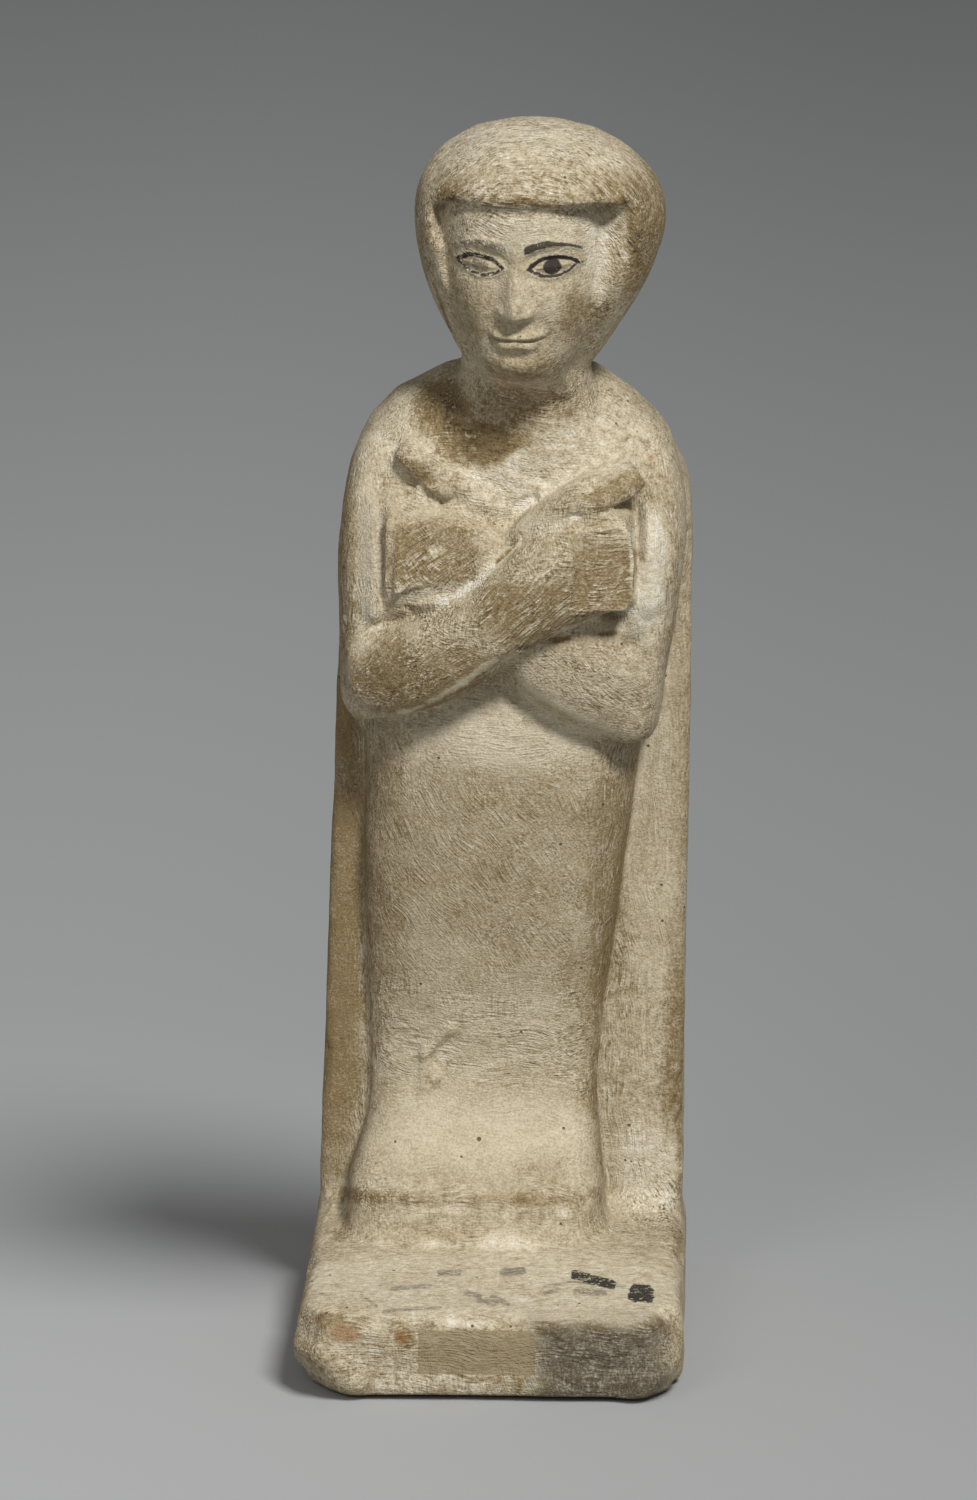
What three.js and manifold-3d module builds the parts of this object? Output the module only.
// A small funerary figurine cut from one block of limestone: a wrapped figure with a round wig
// and crossed arms, standing against a broad back slab on a deep base.
// Millimetres, +Z up, the figure faces -Y, and the origin is under the middle of the base.

import * as THREE from 'three';
import { LoftGeometry } from 'three/addons/geometries/LoftGeometry.js';
import { mergeVertices } from 'three/addons/utils/BufferGeometryUtils.js';
import Module from 'manifold-3d';

// Driving dimensions
const BASE_WIDTH = 62.5;
const BASE_DEPTH = 63.5;
const BASE_HEIGHT = 14;
const BASE_FRONT_CORNER = 7;
const BASE_BACK_CORNER = 1.8;
const BASE_LEAST_RADIUS = 0.6;
const BASE_CORNER_DIVISIONS = 6;
// The worn lower front corners of the base: how far the flat lies from the corner, left and right,
// and which way into the stone the cut is made at the right one.
const BASE_LOW_CORNER_CUTS = [ 7.4, 6.2 ];
const BASE_LOW_CORNER_INWARDS = new THREE.Vector3( - 1, 0.8, 1.1 ).normalize();
const SLAB_THICKNESS = 12;
const SLAB_EDGE_ROUNDING = 1.2;
// The slab starts this high inside the base, and their backs lie in one plane.
const SLAB_FOOT = 4.4;
// The cove between slab and base stops this far from the base's sides, and is let this far into
// the base and the slab. The body stops this far inside the slab's back.
const COVE_RADIUS = 7;
const COVE_END_GAP = 2.8;
const COVE_LET_IN = 3;
const BODY_INSIDE_SLAB = 1.5;
const BACK = BASE_DEPTH / 2;
const SLAB_FRONT = BACK - SLAB_THICKNESS;

// The head turns a little towards its own right, and the face keeps common proportions:
// eyes at half the head's height, nose base midway from brow to chin.
const CROWN_HEIGHT = 201;
const CHIN_HEIGHT = 162;
const HEAD_CENTRE = new THREE.Vector2( 4.8, 9 );
const HEAD_TURN = THREE.MathUtils.degToRad( - 5 );
const EYE_LINE = ( CROWN_HEIGHT + CHIN_HEIGHT ) / 2;
const BROW_LINE = EYE_LINE + 2.8;
const NOSE_BASE = ( BROW_LINE + CHIN_HEIGHT ) / 2;
const MOUTH_LINE = NOSE_BASE - ( NOSE_BASE - CHIN_HEIGHT ) / 3;
const EYE_SPACING = 11.6;

// Exponent of a level ring's outline: 2 is an ellipse, and more is squarer.
const OVAL_POWER = 2.25;
// Exponent of a limb's outline: 1 is an ellipse, and less is squarer.
const LIMB_SQUARENESS = 0.7;

// How finely each skin is divided: the distance between its rings and the points in a ring.
const BODY_DETAIL = { spacing: 3.6, points: 44 };
const WIG_DETAIL = { spacing: 2.2, points: 40 };
const FACE_DETAIL = { spacing: 1.35, points: 44 };
const NECK_DETAIL = { spacing: 2.5, points: 32 };
const ARM_DETAIL = { spacing: 3.4, points: 18 };
const ROD_DETAIL = { spacing: 2.6, points: 12 };

const STONE_COLOUR = 0xbdb093;
const STONE_ROUGHNESS = 0.92;

// The base's rings from the underside up: height and distance in from the block's full size.
const BASE_PROFILE = [
	[ 0, 3.0 ], [ 0.7, 1.5 ], [ 2.2, 0.45 ], [ 4.6, 0 ],
	[ 10.4, 0.1 ], [ 12.4, 0.6 ], [ 13.5, 1.5 ], [ BASE_HEIGHT, 3.2 ]
];

// The slab's outline in x and z. Its right edge is upright, its left edge leans in, and its top
// follows the shoulders up to the nape.
const SLAB_FOOT_LEFT = [ - 30.8, SLAB_FOOT ];
const SLAB_FOOT_RIGHT = [ 30.6, SLAB_FOOT ];
const SLAB_RIGHT_EDGE = [ [ 30.6, 50 ], [ 31.2, 96 ], [ 31.0, 134 ], [ 28.6, 143 ] ];
const SLAB_TOP = [
	[ 24.2, 148.8 ], [ 16.2, 154.2 ], [ 4, 156.6 ], [ - 8.0, 155.4 ],
	[ - 17.0, 150.8 ], [ - 22.4, 144.6 ], [ - 25.6, 133 ]
];

// Cross-sections of the wrapped body from the base up to the neck, each with its reach to the
// left, right and front. The feet jut out at the bottom and the shoulders round over at the top.
const BODY = [
	{ z: 9.5, left: - 28.2, right: 21.6, front: - 3.2, power: 4.5 },
	{ z: 12.6, left: - 26.6, right: 19.6, front: - 0.4, power: 4.5 },
	{ z: 16.5, left: - 25.4, right: 17.9, front: 1.4, power: 4.5 },
	{ z: 21.4, left: - 25.0, right: 17.6, front: 2.2, power: 4.5 },
	{ z: 24, left: - 24.2, right: 17.2, front: 4.8, power: 4.2 },
	{ z: 30, left: - 22.6, right: 16.7, front: 9.4, power: 3.6 },
	{ z: 36, left: - 21.7, right: 16.4, front: 11.9, power: 3.2 },
	{ z: 43, left: - 21.6, right: 16.7, front: 12.1, power: 3.0 },
	{ z: 54, left: - 22.0, right: 17.8, front: 10.2, power: 2.8 },
	{ z: 70, left: - 22.3, right: 19.9, front: 7.2, power: 2.7 },
	{ z: 85, left: - 22.2, right: 22.0, front: 5.2, power: 2.6 },
	{ z: 97, left: - 22.0, right: 23.3, front: 4.4, power: 2.6 },
	{ z: 108, left: - 22.2, right: 24.4, front: 5.0, power: 2.8 },
	{ z: 122, left: - 23.2, right: 26.6, front: 5.6, power: 3.4 },
	{ z: 136, left: - 24.4, right: 28.8, front: 5.4, power: 3.8 },
	{ z: 144, left: - 23.8, right: 28.8, front: 5.6, power: 3.8 },
	{ z: 150, left: - 21.2, right: 26.2, front: 6.8, power: 3.3 },
	{ z: 154.5, left: - 17.0, right: 21.6, front: 8.8, power: 2.8 },
	{ z: 158.5, left: - 9.4, right: 15.8, front: 11.0, power: 2.4 },
];

// The wig from its lower end at the nape to the crown.
const WIG = [
	{ z: 161.5, left: - 4.6, right: 14.6, front: 5, back: 23.5 },
	{ z: 165.5, left: - 7.0, right: 17.4, front: 1.4, back: 25.8 },
	{ z: 173, left: - 10.3, right: 22.2, front: - 3.6, back: 28 },
	{ z: 179, left: - 12.2, right: 25.0, front: - 7.0, back: 29 },
	{ z: 184.5, left: - 13.2, right: 26.5, front: - 9.2, back: 29.2 },
	{ z: 189, left: - 13.0, right: 26.2, front: - 10.4, back: 28.6 },
	{ z: 193, left: - 11.8, right: 24.2, front: - 10.2, back: 27.2 },
	{ z: 196.5, left: - 9.0, right: 20.6, front: - 7.6, back: 24.6 },
	{ z: 199.2, left: - 4.8, right: 16.2, front: - 3.2, back: 20.6 },
	{ z: 200.7, left: 0.2, right: 11.6, front: 2.4, back: 15.4 },
	{ z: CROWN_HEIGHT, left: 4.2, right: 7.8, front: 7.4, back: 10.8 },
];

// The neck, flush with the chest at its lower end.
const NECK = [
	{ z: 140, left: - 16.0, right: 22.0, front: 6.4 },
	{ z: 145, left: - 14.4, right: 21.0, front: 5.5 },
	{ z: 149, left: - 12.0, right: 19.2, front: 5.3 },
	{ z: 153, left: - 9.0, right: 17.2, front: 5.2 },
	{ z: 157, left: - 7.0, right: 15.4, front: 4.6 },
	{ z: 161, left: - 6.1, right: 14.8, front: 3.2 },
	{ z: 166, left: - 5.8, right: 14.6, front: 2.0 },
];

// Depths at which the wig, face and neck are widest, and where the neck and face end behind.
const WIG_WAIST = 9.5;
const NECK_WAIST = 12;
const NECK_BACK = 22;
const FACE_WAIST = 7;
const FACE_BACK = 14;

// The opening that the wig leaves for the face, as reaches from the head's centre line.
const OPENING_TOP = 191.4;
const OPENING_TOP_LEFT = - 14.8;
const OPENING_TOP_RIGHT = 13.2;
const OPENING_LOW_HALF_WIDTH = 8.6;
const OPENING_LOW = 158;
const OPENING_CORNER = 4;
const OPENING_DEPTH_Y = 2.5;
const OPENING_REACH = 40;

// Right of the face the wig is scooped away: the scoop's outline across and up, and a point on its
// floor and the way that the floor faces, across and in depth.
const SCOOP = [
	[ 8.4, 163.4 ], [ 13.4, 165.5 ], [ 15.6, 170 ], [ 17.2, 176 ], [ 18.0, 183 ], [ 17.8, 190.8 ], [ 12.4, 190.8 ],
	[ 11.2, 183 ]
];
const SCOOP_FLOOR = new THREE.Vector2( 13.6, - 1.2 );
const SCOOP_FACING = new THREE.Vector2( - 0.14, - 0.99 );

// The face from under the chin up to behind the wig's edge.
const FACE = [
	{ z: 157.5, left: - 8.0, right: 8.0, front: 4.2 },
	{ z: 160, left: - 7.4, right: 7.4, front: 1.0 },
	{ z: CHIN_HEIGHT, left: - 7.2, right: 7.2, front: - 3.2 },
	{ z: 164.5, left: - 8.4, right: 8.4, front: - 5.6 },
	{ z: 169, left: - 10.6, right: 10.6, front: - 6.6 },
	{ z: 175, left: - 12.6, right: 12.6, front: - 7.6 },
	{ z: 182, left: - 13.7, right: 13.7, front: - 8.4 },
	{ z: 188, left: - 13.7, right: 13.7, front: - 9.0 },
	{ z: 194, left: - 12.6, right: 12.6, front: - 8.4 },
];

// The nose is a ridge that widens downwards, and the rest of the face is bumps and hollows with
// a place across and up, a reach each way and a height. Both sides are alike.
const NOSE_HEIGHT = { brow: 0.5, tip: 3.2 };
const NOSE_HALF_WIDTH = { brow: 1.5, tip: 2.3 };
const NOSE_RUN_IN = 3;
const NOSE_UNDERSIDE = 1.8;
const FACE_BUMPS = [
	{ across: 2.1, up: NOSE_BASE + 1, wide: 1.2, tall: 1.4, out: 1.0 },
	{ across: 5.4, up: BROW_LINE, wide: 4.6, tall: 1.6, out: 0.5 },
	{ across: EYE_SPACING / 2, up: EYE_LINE, wide: 3.4, tall: 2.2, out: - 1.0 },
	{ across: EYE_SPACING / 2, up: EYE_LINE - 0.3, wide: 2.6, tall: 1.3, out: 0.7 },
	{ across: 6.6, up: NOSE_BASE + 1.5, wide: 3.2, tall: 4, out: 0.6 },
	{ across: 0, up: MOUTH_LINE + 1.0, wide: 3.8, tall: 1.2, out: 0.9 },
	{ across: 0, up: MOUTH_LINE - 1.2, wide: 3.2, tall: 1.2, out: 0.9 },
	{ across: 0, up: CHIN_HEIGHT + 2.2, wide: 4.2, tall: 2.4, out: 1.2 },
];

// Limbs as stations along their centre line: place, half width across the limb and half depth.
const LEFT_ON_VIEW_UPPER_ARM = [
	{ x: - 14.8, y: 19.0, z: 149.6, wide: 3.0, deep: 5.4 },
	{ x: - 18.0, y: 17.0, z: 145, wide: 5.2, deep: 9.4 },
	{ x: - 20.4, y: 15.2, z: 136, wide: 5.0, deep: 11.2 },
	{ x: - 21.2, y: 14.6, z: 124, wide: 4.8, deep: 12.2 },
	{ x: - 20.8, y: 14.4, z: 112, wide: 5.0, deep: 12.2 },
	{ x: - 20.6, y: 14.4, z: 106, wide: 4.9, deep: 11.6 },
	{ x: - 20.4, y: 14.4, z: 103.4, wide: 3.8, deep: 10.0 },
];
const RIGHT_ON_VIEW_UPPER_ARM = [
	{ x: 20.6, y: 19.0, z: 148.8, wide: 3.0, deep: 5.4 },
	{ x: 24.0, y: 17.0, z: 143.5, wide: 4.8, deep: 9.4 },
	{ x: 25.6, y: 15.2, z: 134, wide: 4.6, deep: 11.2 },
	{ x: 24.2, y: 14.6, z: 121, wide: 4.8, deep: 12.2 },
	{ x: 22.2, y: 14.4, z: 109, wide: 5.0, deep: 12.2 },
	{ x: 21.6, y: 14.4, z: 102.6, wide: 4.8, deep: 11.6 },
	{ x: 21.4, y: 14.4, z: 99.8, wide: 3.8, deep: 10.0 },
];
const OVER_FOREARM = [
	{ x: - 23.6, y: 10.2, z: 111.0, wide: 5.8, deep: 5.6 },
	{ x: - 21.4, y: 9.8, z: 111.2, wide: 7.8, deep: 7.8 },
	{ x: - 13.0, y: 5.4, z: 113.6, wide: 8.0, deep: 8.4 },
	{ x: - 3.4, y: 1.8, z: 119.0, wide: 7.0, deep: 7.6 },
	{ x: 4.0, y: 0.6, z: 125.0, wide: 7.4, deep: 7.0 },
	{ x: 11.0, y: 0.6, z: 129.6, wide: 8.2, deep: 7.0 },
	{ x: 17.4, y: 1.8, z: 131.6, wide: 8.4, deep: 6.8 },
	{ x: 22.0, y: 3.2, z: 131.8, wide: 8.0, deep: 6.2 },
];
const UNDER_FOREARM = [
	{ x: 24.4, y: 10.8, z: 107.6, wide: 7.0, deep: 5.8 },
	{ x: 22.0, y: 10.4, z: 108.0, wide: 9.0, deep: 7.8 },
	{ x: 13.0, y: 7.2, z: 113.0, wide: 9.6, deep: 7.8 },
	{ x: 3.0, y: 5.6, z: 121.4, wide: 8.8, deep: 7.0 },
	{ x: - 5.0, y: 5.0, z: 127.8, wide: 10.0, deep: 6.6 },
	{ x: - 11.6, y: 4.8, z: 129.6, wide: 10.2, deep: 6.4 },
	{ x: - 17.0, y: 5.6, z: 129.8, wide: 9.6, deep: 5.8 },
];
const OVER_ROD = [
	{ x: 0.6, y: 5.4, z: 131.6, wide: 2.2, deep: 3.6 },
	{ x: 7.0, y: 3.4, z: 137.0, wide: 2.8, deep: 4.6 },
	{ x: 13.6, y: 2.4, z: 141.4, wide: 3.0, deep: 5.2 },
	{ x: 20.0, y: 3.0, z: 144.8, wide: 3.0, deep: 5.2 },
	{ x: 22.6, y: 4.0, z: 146.0, wide: 2.2, deep: 4.4 },
];
const UNDER_ROD = [
	{ x: 4.0, y: 9.0, z: 134.6, wide: 2.2, deep: 2.8 },
	{ x: - 1.0, y: 7.2, z: 138.6, wide: 2.5, deep: 3.2 },
	{ x: - 7.0, y: 6.8, z: 142.4, wide: 2.5, deep: 3.4 },
	{ x: - 12.8, y: 6.8, z: 146.3, wide: 2.4, deep: 3.6 },
	{ x: - 15.8, y: 7.2, z: 148.2, wide: 1.8, deep: 3.2 },
];

// Flat cuts on the limbs, each from a point on it and the way it faces: the bevels under both
// forearms, and the sloping tops of the two hands.
const OVER_FOREARM_FLATS = [
	{ at: [ - 8, - 2.6, 109.2 ], facing: [ 0.36, - 0.68, - 0.64 ] },
	{ at: [ 17, - 4.2, 138.4 ], facing: [ 0.1, - 0.45, 0.89 ] },
];
const UNDER_FOREARM_FLATS = [
	{ at: [ 12, 0.6, 105.6 ], facing: [ - 0.42, - 0.68, - 0.6 ] },
	{ at: [ - 12, 1.2, 138.4 ], facing: [ 0, - 0.52, 0.85 ] },
];

const wasm = await Module();
wasm.setup();

// Cubic through b and c, at t from 0 to 1, with a and d as their neighbours.
function catmullRom( a, b, c, d, t ) {

	const rise = 3 * ( b - c ) + d - a;
	return b + 0.5 * t * ( c - a + t * ( 2 * a - 5 * b + 4 * c - d + t * rise ) );

}

// Fills in a row of stations so that neighbours lie about `spacing` apart.
function refine( stations, spacing ) {

	const last = stations.length - 1;
	const rows = [];

	for ( let i = 0; i < last; i ++ ) {

		const near = [ i - 1, i, i + 1, i + 2 ].map( ( k ) => stations[ THREE.MathUtils.clamp( k, 0, last ) ] );
		const run = Math.hypot( near[ 2 ].z - near[ 1 ].z, ( near[ 2 ].x ?? 0 ) - ( near[ 1 ].x ?? 0 ) );
		const steps = Math.max( 1, Math.round( run / spacing ) );

		for ( let k = 0; k < steps; k ++ ) {

			const row = {};
			for ( const key of Object.keys( near[ 1 ] ) ) {

				row[ key ] = catmullRom( ...near.map( ( s ) => s[ key ] ), k / steps );

			}

			rows.push( row );

		}

	}

	rows.push( stations[ last ] );
	return rows;

}

const signedPower = ( value, power ) => Math.sign( value ) * Math.pow( Math.abs( value ), power );

// A flat ring at height z: a rounded outline whose widest line lies at depth `waist`.
function levelRing( station, waist, back, count ) {

	const { z, left, right, front, power = OVAL_POWER } = station;
	const points = [];

	for ( let i = 0; i < count; i ++ ) {

		const angle = i / count * Math.PI * 2;
		const across = signedPower( Math.cos( angle ), 2 / power );
		const along = signedPower( Math.sin( angle ), 2 / power );
		const reach = along < 0 ? waist - front : back - waist;
		points.push( new THREE.Vector3(
			( left + right ) / 2 + across * ( right - left ) / 2,
			waist + along * reach,
			z
		) );

	}

	return points;

}

// A closed skin over rings of points, as a solid.
function skin( rings ) {

	return solidOf( new LoftGeometry( rings, { capStart: true, capEnd: true } ) );

}

// Any closed three.js geometry as a solid.
function solidOf( geometry ) {

	const plain = new THREE.BufferGeometry();
	plain.setAttribute( 'position', geometry.getAttribute( 'position' ) );
	plain.setIndex( geometry.getIndex() );
	const merged = mergeVertices( plain, 1e-4 );
	return new wasm.Manifold( new wasm.Mesh( {
		numProp: 3,
		vertProperties: merged.getAttribute( 'position' ).array,
		triVerts: new Uint32Array( merged.getIndex().array )
	} ) );

}

// A limb: oval rings square to a curved centre line.
function limb( stations, detail ) {

	const rows = refine( stations, detail.spacing );
	const centres = rows.map( ( r ) => new THREE.Vector3( r.x, r.y, r.z ) );
	const outwards = new THREE.Vector3( 0, - 1, 0 );
	const rings = rows.map( ( row, i ) => {

		const tangent = new THREE.Vector3().subVectors(
			centres[ Math.min( i + 1, rows.length - 1 ) ],
			centres[ Math.max( i - 1, 0 ) ]
		).normalize();
		const deepWay = outwards.clone().addScaledVector( tangent, - outwards.dot( tangent ) ).normalize();
		const wideWay = new THREE.Vector3().crossVectors( deepWay, tangent );
		const points = [];

		for ( let k = 0; k < detail.points; k ++ ) {

			const angle = k / detail.points * Math.PI * 2;
			points.push( centres[ i ].clone()
				.addScaledVector( wideWay, row.wide * signedPower( Math.cos( angle ), LIMB_SQUARENESS ) )
				.addScaledVector( deepWay, row.deep * signedPower( Math.sin( angle ), LIMB_SQUARENESS ) ) );

		}

		return points;

	} );

	return skin( rings );

}

// The base: a worn block, rounded at its upright corners and at its edges.
function makeBase() {

	const rings = BASE_PROFILE.map( ( [ z, inset ] ) => {

		const outline = new THREE.Path();
		const corners = [ [ 1, - 1, 3 ], [ 1, 1, 0 ], [ - 1, 1, 1 ], [ - 1, - 1, 2 ] ];

		for ( const [ sideX, sideY, quarter ] of corners ) {

			const corner = sideY < 0 ? BASE_FRONT_CORNER : BASE_BACK_CORNER;
			const radius = Math.max( corner - inset, BASE_LEAST_RADIUS );
			const start = quarter * Math.PI / 2;
			outline.absarc(
				sideX * ( BASE_WIDTH / 2 - inset - radius ),
				sideY * ( BASE_DEPTH / 2 - inset - radius ),
				radius, start, start + Math.PI / 2
			);

		}

		return outline.getPoints( BASE_CORNER_DIVISIONS ).map( ( p ) => new THREE.Vector3( p.x, p.y, z ) );

	} );

	const corner = new THREE.Vector3( BASE_WIDTH / 2, - BASE_DEPTH / 2, 0 );
	return BASE_LOW_CORNER_CUTS.reduce( ( left, cut, k ) => {

		const side = 2 * k - 1;
		const inwards = BASE_LOW_CORNER_INWARDS.clone();
		inwards.x *= side;
		const distance = inwards.dot( new THREE.Vector3( side * corner.x, corner.y, corner.z ) );
		return left.trimByPlane( inwards.toArray(), distance + cut );

	}, skin( rings ) );

}

// The back slab, pushed out of its outline and eased along its front and back edges.
function makeSlab() {

	const inset = SLAB_EDGE_ROUNDING;
	const inwards = ( [ x, z ] ) => new THREE.Vector2( x - Math.sign( x ) * inset, z );
	const outline = new THREE.Shape();
	outline.moveTo( ...inwards( SLAB_FOOT_LEFT ).toArray() );
	outline.lineTo( ...inwards( SLAB_FOOT_RIGHT ).toArray() );
	outline.splineThru( SLAB_RIGHT_EDGE.map( inwards ) );
	outline.splineThru( SLAB_TOP.map( inwards ) );
	outline.closePath();

	const geometry = new THREE.ExtrudeGeometry( outline, {
		depth: SLAB_THICKNESS - inset,
		curveSegments: 6,
		bevelThickness: inset,
		bevelSize: inset,
		bevelSegments: 2
	} );
	geometry.rotateX( Math.PI / 2 );
	geometry.translate( 0, BACK - inset, 0 );
	return solidOf( geometry );

}

// The hollow curve by which the slab's face runs out onto the top of the base.
function makeCove() {

	const front = SLAB_FRONT - COVE_RADIUS;
	const shape = new THREE.Shape();
	shape.moveTo( SLAB_FRONT + COVE_LET_IN, BASE_HEIGHT - COVE_LET_IN );
	shape.lineTo( SLAB_FRONT + COVE_LET_IN, BASE_HEIGHT + COVE_RADIUS );
	shape.lineTo( SLAB_FRONT, BASE_HEIGHT + COVE_RADIUS );
	shape.absarc( front, BASE_HEIGHT + COVE_RADIUS, COVE_RADIUS, 0, - Math.PI / 2, true );
	shape.lineTo( front, BASE_HEIGHT - COVE_LET_IN );
	shape.closePath();

	const length = BASE_WIDTH - 2 * COVE_END_GAP;
	const geometry = new THREE.ExtrudeGeometry( shape, {
		depth: length,
		curveSegments: 5,
		bevelEnabled: false
	} );
	geometry.rotateX( Math.PI / 2 );
	geometry.rotateZ( Math.PI / 2 );
	geometry.translate( - length / 2, 0, 0 );
	return solidOf( geometry );

}

// Height of a bump at a distance from its middle, as a share of its full height.
const gauss = ( distance, width ) => Math.exp( - distance * distance / ( width * width ) );

// How far the carved features stand out of the plain oval of the face, at u across and z up.
function faceRelief( u, z ) {

	const side = Math.abs( u );
	const down = THREE.MathUtils.clamp( ( BROW_LINE - z ) / ( BROW_LINE - NOSE_BASE ), 0, 1 );
	const bridge = THREE.MathUtils.smoothstep( BROW_LINE - z, - NOSE_RUN_IN, 0 );
	const tip = THREE.MathUtils.smoothstep( z, NOSE_BASE - NOSE_UNDERSIDE, NOSE_BASE );
	const nose = THREE.MathUtils.lerp( NOSE_HEIGHT.brow, NOSE_HEIGHT.tip, down )
		* gauss( u, THREE.MathUtils.lerp( NOSE_HALF_WIDTH.brow, NOSE_HALF_WIDTH.tip, down ) );
	return FACE_BUMPS.reduce(
		( sum, b ) => sum + b.out * gauss( side - b.across, b.wide ) * gauss( z - b.up, b.tall ),
		nose * bridge * tip
	);

}

function makeFace() {

	const rings = refine( FACE, FACE_DETAIL.spacing ).map( ( station ) => {

		const points = levelRing( station, FACE_WAIST, FACE_BACK, FACE_DETAIL.points );
		for ( const p of points ) {

			if ( p.y < FACE_WAIST ) p.y -= faceRelief( p.x, p.z );
			p.x += HEAD_CENTRE.x;
			turnHead( p );

		}

		return points;

	} );
	return skin( rings );

}

// Turns a point about the upright line through the head's centre.
function turnHead( p ) {

	const pivot = new THREE.Vector3( HEAD_CENTRE.x, HEAD_CENTRE.y, 0 );
	return p.sub( pivot ).applyAxisAngle( new THREE.Vector3( 0, 0, 1 ), HEAD_TURN ).add( pivot );

}

// The tool that cuts the face's opening into the wig: a tall wedge with round upper corners.
function makeOpening() {

	const left = OPENING_TOP_LEFT;
	const right = OPENING_TOP_RIGHT;
	const shape = new THREE.Shape();
	shape.moveTo( - OPENING_LOW_HALF_WIDTH, OPENING_LOW );
	shape.lineTo( OPENING_LOW_HALF_WIDTH, OPENING_LOW );
	shape.lineTo( right, OPENING_TOP - OPENING_CORNER );
	shape.lineTo( right, OPENING_TOP );
	shape.lineTo( left + OPENING_CORNER, OPENING_TOP );
	shape.quadraticCurveTo( left, OPENING_TOP, left, OPENING_TOP - OPENING_CORNER );
	shape.closePath();
	return turnedCut( straightCut( shape ) );

}

// A straight cut into the head's front, from its outline across and up.
function straightCut( shape ) {

	const geometry = new THREE.ExtrudeGeometry( shape, {
		depth: OPENING_REACH,
		curveSegments: 4,
		bevelEnabled: false
	} );
	geometry.rotateX( Math.PI / 2 );
	geometry.translate( 0, OPENING_DEPTH_Y, 0 );
	return solidOf( geometry );

}

// Sets a cut about the head's centre line and turns it with the head.
function turnedCut( cut ) {

	return cut.rotate( [ 0, 0, THREE.MathUtils.radToDeg( HEAD_TURN ) ] ).translate( [ HEAD_CENTRE.x, 0, 0 ] );

}

// The scoop beside the face, whose floor slopes forwards to the right.
function makeScoop() {

	const shape = new THREE.Shape( SCOOP.map( ( [ across, up ] ) => new THREE.Vector2( across, up ) ) );
	const facing = SCOOP_FACING.clone().normalize();
	return turnedCut( straightCut( shape ).trimByPlane( [ facing.x, facing.y, 0 ], facing.dot( SCOOP_FLOOR ) ) );

}

function makeHead() {

	const rows = refine( WIG, WIG_DETAIL.spacing );
	const wig = skin( rows.map( ( s ) => levelRing( s, WIG_WAIST, s.back, WIG_DETAIL.points ) ) );
	return wig.subtract( makeOpening() ).subtract( makeScoop() ).add( makeFace() );

}

function makeNeck() {

	const rows = refine( NECK, NECK_DETAIL.spacing );
	return skin( rows.map( ( s ) => levelRing( s, NECK_WAIST, NECK_BACK, NECK_DETAIL.points ) ) );

}

function makeBody() {

	const rows = refine( BODY, BODY_DETAIL.spacing );
	return skin( rows.map( ( s ) => levelRing( s, SLAB_FRONT, BACK - BODY_INSIDE_SLAB, BODY_DETAIL.points ) ) );

}

// Cuts a limb flat at each of the given places.
function flatten( solid, flats ) {

	return flats.reduce( ( left, { at, facing } ) => {

		const inwards = new THREE.Vector3( ...facing ).normalize().negate();
		return left.trimByPlane( inwards.toArray(), inwards.dot( new THREE.Vector3( ...at ) ) );

	}, solid );

}

function makeArms() {

	const forearms = [
		flatten( limb( OVER_FOREARM, ARM_DETAIL ), OVER_FOREARM_FLATS ),
		flatten( limb( UNDER_FOREARM, ARM_DETAIL ), UNDER_FOREARM_FLATS )
	];
	const upperArms = [ LEFT_ON_VIEW_UPPER_ARM, RIGHT_ON_VIEW_UPPER_ARM ].map( ( s ) => limb( s, ARM_DETAIL ) );
	const rods = [ OVER_ROD, UNDER_ROD ].map( ( s ) => limb( s, ROD_DETAIL ) );
	return [ ...upperArms, ...forearms, ...rods ];

}

const figure = [ makeBase(), makeSlab(), makeCove(), makeBody(), makeNeck(), makeHead(), ...makeArms() ]
	.reduce( ( whole, piece ) => whole.add( piece ) );
const surface = figure.getMesh();
const geometry = new THREE.BufferGeometry();
geometry.setAttribute( 'position', new THREE.BufferAttribute( surface.vertProperties, 3 ) );
geometry.setIndex( new THREE.BufferAttribute( surface.triVerts, 1 ) );

const limestone = new THREE.MeshStandardMaterial( {
	color: STONE_COLOUR,
	roughness: STONE_ROUGHNESS,
	metalness: 0
} );
const shabti = new THREE.Mesh( geometry, limestone );
shabti.name = 'shabti';

const group = new THREE.Group();
group.add( shabti );

export default group;
